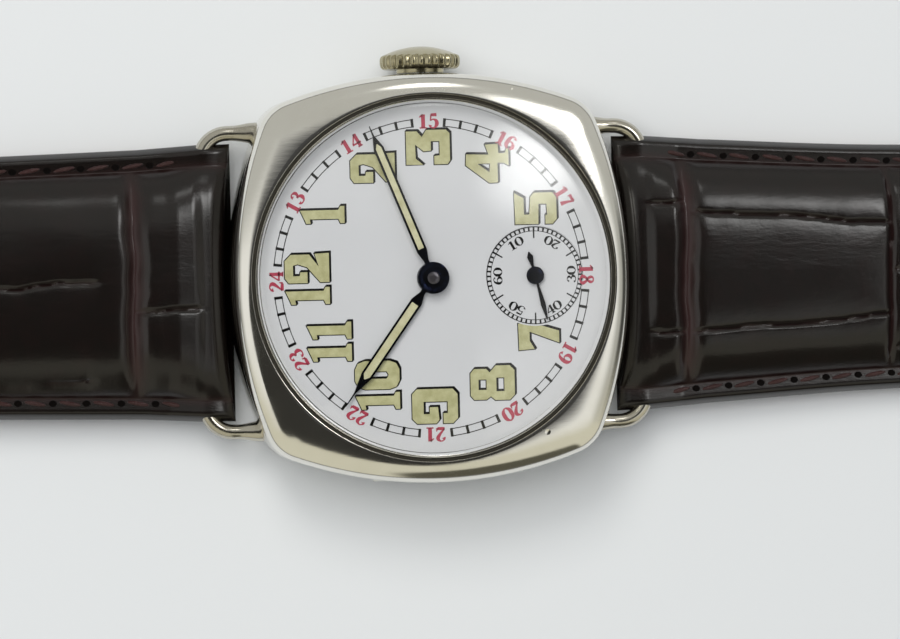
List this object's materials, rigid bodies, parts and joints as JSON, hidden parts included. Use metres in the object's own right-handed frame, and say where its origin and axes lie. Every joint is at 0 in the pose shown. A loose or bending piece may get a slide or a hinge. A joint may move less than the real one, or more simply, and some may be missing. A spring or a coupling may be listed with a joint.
{
  "type": "wristwatch",
  "caption": "Cushion-shaped wristwatch with a white enamel dial, small seconds, fixed wire lugs and a padded leather strap laid open.",
  "frame": {"origin": "centre of the case back's outer flat, under the axis of the hour and minute hands", "axes": "+Z out of the dial, +Y to 12 o'clock along the strap, +X to 3 o'clock and the crown"},
  "size_m": [0.0352, 0.2371, 0.0106],
  "materials": {
    "case_metal": "polished",
    "crown_metal": "polished, warm tint",
    "steel": "fine grained",
    "blued_steel": "heat blued",
    "movement_plate": "nickel-plated, fine grained",
    "wheel_brass": "gilt",
    "crystal": "clear, polished",
    "enamel": "white enamel, glossy",
    "lume": "aged luminous paint",
    "ruby": "polished",
    "strap_leather": "glossy, scaled grain",
    "lining_leather": "smooth calf",
    "buckle_metal": "polished"
  },
  "bodies": {
    "case": {"case_middle": "case_metal", "bezel": "case_metal", "crystal": "crystal", "back_hinge_pin": "steel", "lug_wire_12": "case_metal", "lug_wire_6": "case_metal", "dial": "enamel", "mainplate": "movement_plate", "barrel_bridge": "movement_plate", "train_bridge": "movement_plate", "balance_cock": "movement_plate", "pallet_cock": "movement_plate", "hairspring": "blued_steel", "jewels": "ruby", "bridge_screws": "blued_steel", "case_screws": "steel"},
    "back": {"case_back": "case_metal"},
    "winding": {"winding_pinion": "steel", "sliding_pinion": "steel"},
    "stem": {"crown": "crown_metal", "winding_stem": "steel"},
    "ratchet": {"barrel_arbor": "steel", "ratchet_wheel": "steel"},
    "crown_wheel": {"crown_wheel": "steel"},
    "click": {"click": "steel"},
    "barrel": {"barrel": "wheel_brass", "barrel_cover": "wheel_brass", "mainspring": "steel"},
    "centre": {"centre_wheel": "wheel_brass", "cannon_pinion": "steel", "minute_hand": "blued_steel", "minute_lume": "lume"},
    "hour": {"hour_wheel": "wheel_brass", "hour_hand": "blued_steel", "hour_lume": "lume"},
    "minute_wheel": {"minute_wheel": "wheel_brass"},
    "setting_wheel": {"setting_wheel": "steel"},
    "third": {"third_wheel": "wheel_brass"},
    "fourth": {"fourth_wheel": "wheel_brass", "seconds_hand": "blued_steel"},
    "escape": {"escape_wheel": "steel"},
    "fork": {"pallet_fork": "steel"},
    "balance": {"balance_wheel": "wheel_brass"},
    "strap_12": {"strap_12": "strap_leather", "lining_12": "lining_leather", "keeper_fixed": "strap_leather", "buckle_bar": "buckle_metal"},
    "keeper_free": {"keeper_free": "strap_leather"},
    "buckle_frame": {"buckle_frame": "buckle_metal"},
    "buckle_tang": {"buckle_tang": "buckle_metal"},
    "strap_6": {"strap_6": "strap_leather", "lining_6": "lining_leather"}
  },
  "joints": [
    {"name": "minute_hand", "type": "hinge", "parent": "case", "child": "centre", "pos_m": [0, 0, 0.003], "axis": [0, 0, 1], "continuous": true},
    {"name": "hour_hand", "type": "hinge", "parent": "case", "child": "hour", "pos_m": [0, 0, 0.0065], "axis": [0, 0, 1], "continuous": true},
    {"name": "minute_wheel", "type": "hinge", "parent": "case", "child": "minute_wheel", "pos_m": [0.00259, 0.00094, 0.006], "axis": [0, 0, 1], "continuous": true},
    {"name": "setting_wheel", "type": "hinge", "parent": "case", "child": "setting_wheel", "pos_m": [0.00581, 0.00094, 0.006], "axis": [0, 0, 1], "continuous": true},
    {"name": "barrel", "type": "hinge", "parent": "case", "child": "barrel", "pos_m": [0.00275, 0.00517, 0.004], "axis": [0, 0, 1], "continuous": true},
    {"name": "third_wheel", "type": "hinge", "parent": "case", "child": "third", "pos_m": [0.00284, -0.00459, 0.003], "axis": [0, 0, 1], "continuous": true},
    {"name": "seconds_hand", "type": "hinge", "parent": "case", "child": "fourth", "pos_m": [0, -0.0083, 0.003], "axis": [0, 0, 1], "continuous": true},
    {"name": "escape_wheel", "type": "hinge", "parent": "case", "child": "escape", "pos_m": [-0.00372, -0.00695, 0.003], "axis": [0, 0, 1], "continuous": true},
    {"name": "pallet_fork", "type": "hinge", "parent": "case", "child": "fork", "pos_m": [-0.00459, -0.00455, 0.003], "axis": [0, 0, 1], "range_deg": [-4, 4]},
    {"name": "balance", "type": "hinge", "parent": "case", "child": "balance", "pos_m": [-0.00599, -0.00156, 0.002], "axis": [0, 0, 1], "range_deg": [-270, 270]},
    {"name": "crown_turn", "type": "hinge", "parent": "case", "child": "winding", "pos_m": [0.009, 0, 0.0035], "axis": [1, 0, 0], "continuous": true},
    {"name": "crown_pull", "type": "slide", "parent": "winding", "child": "stem", "axis": [1, 0, 0], "range_m": [0, 0.0008]},
    {"name": "crown_wheel", "type": "hinge", "parent": "case", "child": "crown_wheel", "pos_m": [0.0073, 0, 0.0015], "axis": [0, 0, 1], "continuous": true},
    {"name": "ratchet_wheel", "type": "hinge", "parent": "case", "child": "ratchet", "pos_m": [0.00275, 0.00517, 0.002], "axis": [0, 0, 1], "continuous": true},
    {"name": "click", "type": "hinge", "parent": "case", "child": "click", "pos_m": [-0.00263, 0.00827, 0.0015], "axis": [0, 0, 1], "range_deg": [0, 10], "stiffness_Nm_per_rad": 0.0000004},
    {"name": "case_back", "type": "hinge", "parent": "case", "child": "back", "pos_m": [-0.0158, 0, 0.0022], "axis": [0, 1, 0], "range_deg": [0, 95]},
    {"name": "strap_12", "type": "hinge", "parent": "case", "child": "strap_12", "pos_m": [0, 0.018, 0.0031], "axis": [1, 0, 0], "range_deg": [-75, 60]},
    {"name": "keeper_free", "type": "slide", "parent": "strap_12", "child": "keeper_free", "axis": [0, 1, 0], "range_m": [-0.013, 0.003]},
    {"name": "buckle_frame", "type": "hinge", "parent": "strap_12", "child": "buckle_frame", "pos_m": [0, 0.093, 0.002], "axis": [1, 0, 0], "range_deg": [-40, 60]},
    {"name": "buckle_tang", "type": "hinge", "parent": "buckle_frame", "child": "buckle_tang", "pos_m": [0, 0.093, 0.002], "axis": [1, 0, 0], "range_deg": [0, 75]},
    {"name": "strap_6", "type": "hinge", "parent": "case", "child": "strap_6", "pos_m": [0, -0.018, 0.0031], "axis": [-1, 0, 0], "range_deg": [-75, 60]}
  ],
  "couplings": [
    {"joint": "hour_hand", "follows": "minute_hand", "ratio": 0.083333},
    {"joint": "minute_wheel", "follows": "minute_hand", "ratio": -0.33333},
    {"joint": "setting_wheel", "follows": "minute_hand", "ratio": 0.6},
    {"joint": "barrel", "follows": "minute_hand", "ratio": -0.125},
    {"joint": "third_wheel", "follows": "minute_hand", "ratio": -8},
    {"joint": "seconds_hand", "follows": "minute_hand", "ratio": 60},
    {"joint": "escape_wheel", "follows": "minute_hand", "ratio": -600},
    {"joint": "crown_wheel", "follows": "crown_turn", "ratio": 0.66667},
    {"joint": "ratchet_wheel", "follows": "crown_turn", "ratio": -0.36364}
  ]
}
